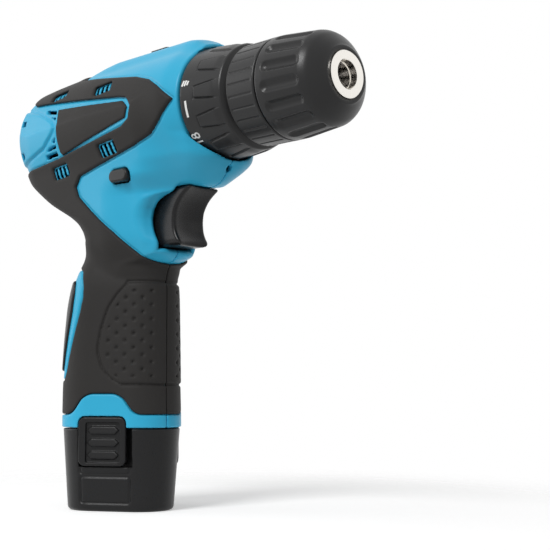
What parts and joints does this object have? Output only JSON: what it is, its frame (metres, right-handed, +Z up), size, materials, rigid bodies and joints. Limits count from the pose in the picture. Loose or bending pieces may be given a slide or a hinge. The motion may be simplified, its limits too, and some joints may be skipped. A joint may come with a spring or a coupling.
{
  "type": "cordless drill driver",
  "caption": "Pistol-grip cordless drill driver with a keyless chuck, torque ring, trigger, direction button, speed slider and a slide-in battery that stands it up.",
  "frame": {"origin": "middle of the battery base's underside, on the axis between its cells", "axes": "+X forward along the chuck axis, +Y to the drill's left, +Z up"},
  "size_m": [0.1914, 0.056, 0.2022],
  "materials": {
    "blue_plastic": "satin moulded",
    "black_plastic": "fine moulded texture",
    "soft_grip": "matt overmould",
    "steel": "turned",
    "bright_steel": "polished",
    "copper": "bare",
    "magnet": "ground",
    "cell_wrap": "shrunk film",
    "case_plastic": "glass-filled moulded",
    "switch_case": "moulded round its metal works",
    "board": "coated",
    "lamp": "clear",
    "lead": "insulated wire",
    "gear_plastic": "natural moulded"
  },
  "bodies": {
    "battery": {"battery_base": "black_plastic", "battery_tower": "black_plastic", "battery_cells": "cell_wrap", "battery_board": "board", "battery_contacts": "copper"},
    "latch_r": {"latch_right": "black_plastic"},
    "latch_l": {"latch_left": "black_plastic"},
    "housing": {"housing_right": "blue_plastic", "housing_left": "blue_plastic", "grip_right": "soft_grip", "grip_left": "soft_grip", "handle_back_panel": "black_plastic", "side_panel_right": "black_plastic", "side_panel_left": "black_plastic", "housing_screws": "steel", "gear_case": "case_plastic", "motor_plate": "steel", "ring_gear_1": "steel", "ring_gear_3": "steel", "motor_can": "steel", "motor_magnets": "magnet", "motor_end_cap": "black_plastic", "motor_brushes": "copper", "spindle_bearing": "steel", "switch_body": "switch_case", "terminal_block": "black_plastic", "terminal_clips": "copper", "led_lamp": "lamp", "clutch_washer": "steel", "clutch_balls": "steel", "clutch_spring": "steel", "battery_leads": "lead"},
    "trigger": {"trigger": "black_plastic"},
    "direction": {"direction_button": "black_plastic"},
    "speed": {"speed_selector": "black_plastic", "ring_gear_2": "steel"},
    "clutch": {"clutch_ring": "black_plastic"},
    "nut": {"clutch_nut": "black_plastic"},
    "rotor": {"motor_shaft": "steel", "armature": "steel", "commutator": "copper", "pinion": "steel"},
    "stage_one": {"carrier_1": "steel", "planet_gears_1": "gear_plastic"},
    "stage_two": {"carrier_2": "steel", "planet_gears_2": "steel"},
    "chuck": {"spindle": "steel", "planet_gears_3": "steel", "chuck_body": "bright_steel", "chuck_rear_ring": "black_plastic", "chuck_screw": "steel"},
    "sleeve": {"chuck_sleeve": "black_plastic", "chuck_nut": "steel"},
    "jaw_a": {"jaw_1": "steel"},
    "jaw_b": {"jaw_2": "steel"},
    "jaw_c": {"jaw_3": "steel"}
  },
  "joints": [
    {"name": "battery_release", "type": "slide", "parent": "battery", "child": "housing", "axis": [0, 0, 1], "range_m": [0, 0.06]},
    {"name": "latch_right_press", "type": "slide", "parent": "battery", "child": "latch_r", "axis": [-0.5, 0.866, 0], "range_m": [0, 0.0013], "stiffness_N_per_m": 3000},
    {"name": "latch_left_press", "type": "slide", "parent": "battery", "child": "latch_l", "axis": [-0.5, -0.866, 0], "range_m": [0, 0.0013], "stiffness_N_per_m": 3000},
    {"name": "trigger_pull", "type": "slide", "parent": "housing", "child": "trigger", "axis": [-1, 0, 0], "range_m": [0, 0.007], "stiffness_N_per_m": 1200},
    {"name": "direction_switch", "type": "slide", "parent": "housing", "child": "direction", "axis": [0, 1, 0], "range_m": [-0.003, 0.003]},
    {"name": "speed_switch", "type": "slide", "parent": "housing", "child": "speed", "axis": [-1, 0, 0], "range_m": [0, 0.006]},
    {"name": "clutch_turn", "type": "hinge", "parent": "housing", "child": "clutch", "pos_m": [0, 0, 0.172], "axis": [1, 0, 0], "range_deg": [0, 300]},
    {"name": "clutch_nut_slide", "type": "slide", "parent": "housing", "child": "nut", "axis": [1, 0, 0], "range_m": [-0.005, 0], "deforming": ["clutch_spring"]},
    {"name": "motor_spin", "type": "hinge", "parent": "housing", "child": "rotor", "pos_m": [0, 0, 0.172], "axis": [1, 0, 0], "continuous": true},
    {"name": "stage_one_spin", "type": "hinge", "parent": "housing", "child": "stage_one", "pos_m": [0, 0, 0.172], "axis": [1, 0, 0], "continuous": true},
    {"name": "stage_two_spin", "type": "hinge", "parent": "housing", "child": "stage_two", "pos_m": [0, 0, 0.172], "axis": [1, 0, 0], "continuous": true},
    {"name": "chuck_spin", "type": "hinge", "parent": "housing", "child": "chuck", "pos_m": [0, 0, 0.172], "axis": [1, 0, 0], "continuous": true},
    {"name": "sleeve_turn", "type": "hinge", "parent": "chuck", "child": "sleeve", "pos_m": [0, 0, 0.172], "axis": [1, 0, 0], "range_deg": [0, 1800]},
    {"name": "jaw_one_slide", "type": "slide", "parent": "chuck", "child": "jaw_a", "axis": [0.9613, 0, -0.2756], "range_m": [0, 0.014]},
    {"name": "jaw_two_slide", "type": "slide", "parent": "chuck", "child": "jaw_b", "axis": [0.9613, 0.2387, 0.1378], "range_m": [0, 0.014]},
    {"name": "jaw_three_slide", "type": "slide", "parent": "chuck", "child": "jaw_c", "axis": [0.9613, -0.2387, 0.1378], "range_m": [0, 0.014]}
  ],
  "couplings": [
    {"joint": "clutch_nut_slide", "follows": "clutch_turn", "m_per_rad": -0.00095493},
    {"joint": "stage_one_spin", "follows": "motor_spin", "ratio": 0.25},
    {"joint": "stage_two_spin", "follows": "motor_spin", "ratio": 0.0625},
    {"joint": "chuck_spin", "follows": "motor_spin", "ratio": 0.015625},
    {"joint": "jaw_one_slide", "follows": "sleeve_turn", "m_per_rad": 0.00044563},
    {"joint": "jaw_two_slide", "follows": "sleeve_turn", "m_per_rad": 0.00044563},
    {"joint": "jaw_three_slide", "follows": "sleeve_turn", "m_per_rad": 0.00044563}
  ]
}
